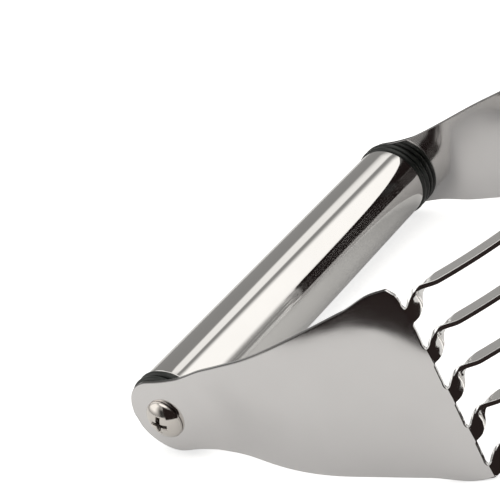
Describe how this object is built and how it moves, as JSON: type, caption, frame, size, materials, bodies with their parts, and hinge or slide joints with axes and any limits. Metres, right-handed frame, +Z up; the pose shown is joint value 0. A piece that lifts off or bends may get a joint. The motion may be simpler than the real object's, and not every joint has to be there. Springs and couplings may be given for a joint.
{
  "type": "pastry blender",
  "caption": "Hand pastry blender: a polished tube handle screwed between two bent side plates that carry curved blades standing on edge.",
  "frame": {"origin": "centre of the bounding box, on the surface that the blender lies on", "axes": "+X along the handle towards the far plate; +Z up off the surface with the blender lying on its side; the blades point to -Y"},
  "size_m": [0.114, 0.1116, 0.0452],
  "materials": {
    "sheet_steel": "satin",
    "blade_steel": "satin, bright cut edges",
    "polished_steel": "mirror polished",
    "screw_steel": "bright",
    "ring_rubber": "matt",
    "plug_plastic": "moulded"
  },
  "bodies": {
    "blade_frame": {"side_plate_near": "sheet_steel", "side_plate_far": "sheet_steel", "blade_1": "blade_steel", "blade_2": "blade_steel", "blade_3": "blade_steel", "blade_4": "blade_steel", "blade_5": "blade_steel"},
    "handle": {"handle_tube": "polished_steel", "end_plug_near": "plug_plastic", "end_plug_far": "plug_plastic", "ring_near_inner": "ring_rubber", "ring_near_outer": "ring_rubber", "ring_far_inner": "ring_rubber", "ring_far_outer": "ring_rubber", "screw_near": "screw_steel", "screw_far": "screw_steel"}
  },
  "joints": [
    {"name": "handle_turn", "type": "hinge", "parent": "blade_frame", "child": "handle", "pos_m": [0, 0.04538, 0.0104], "axis": [1, 0, 0], "continuous": true}
  ]
}
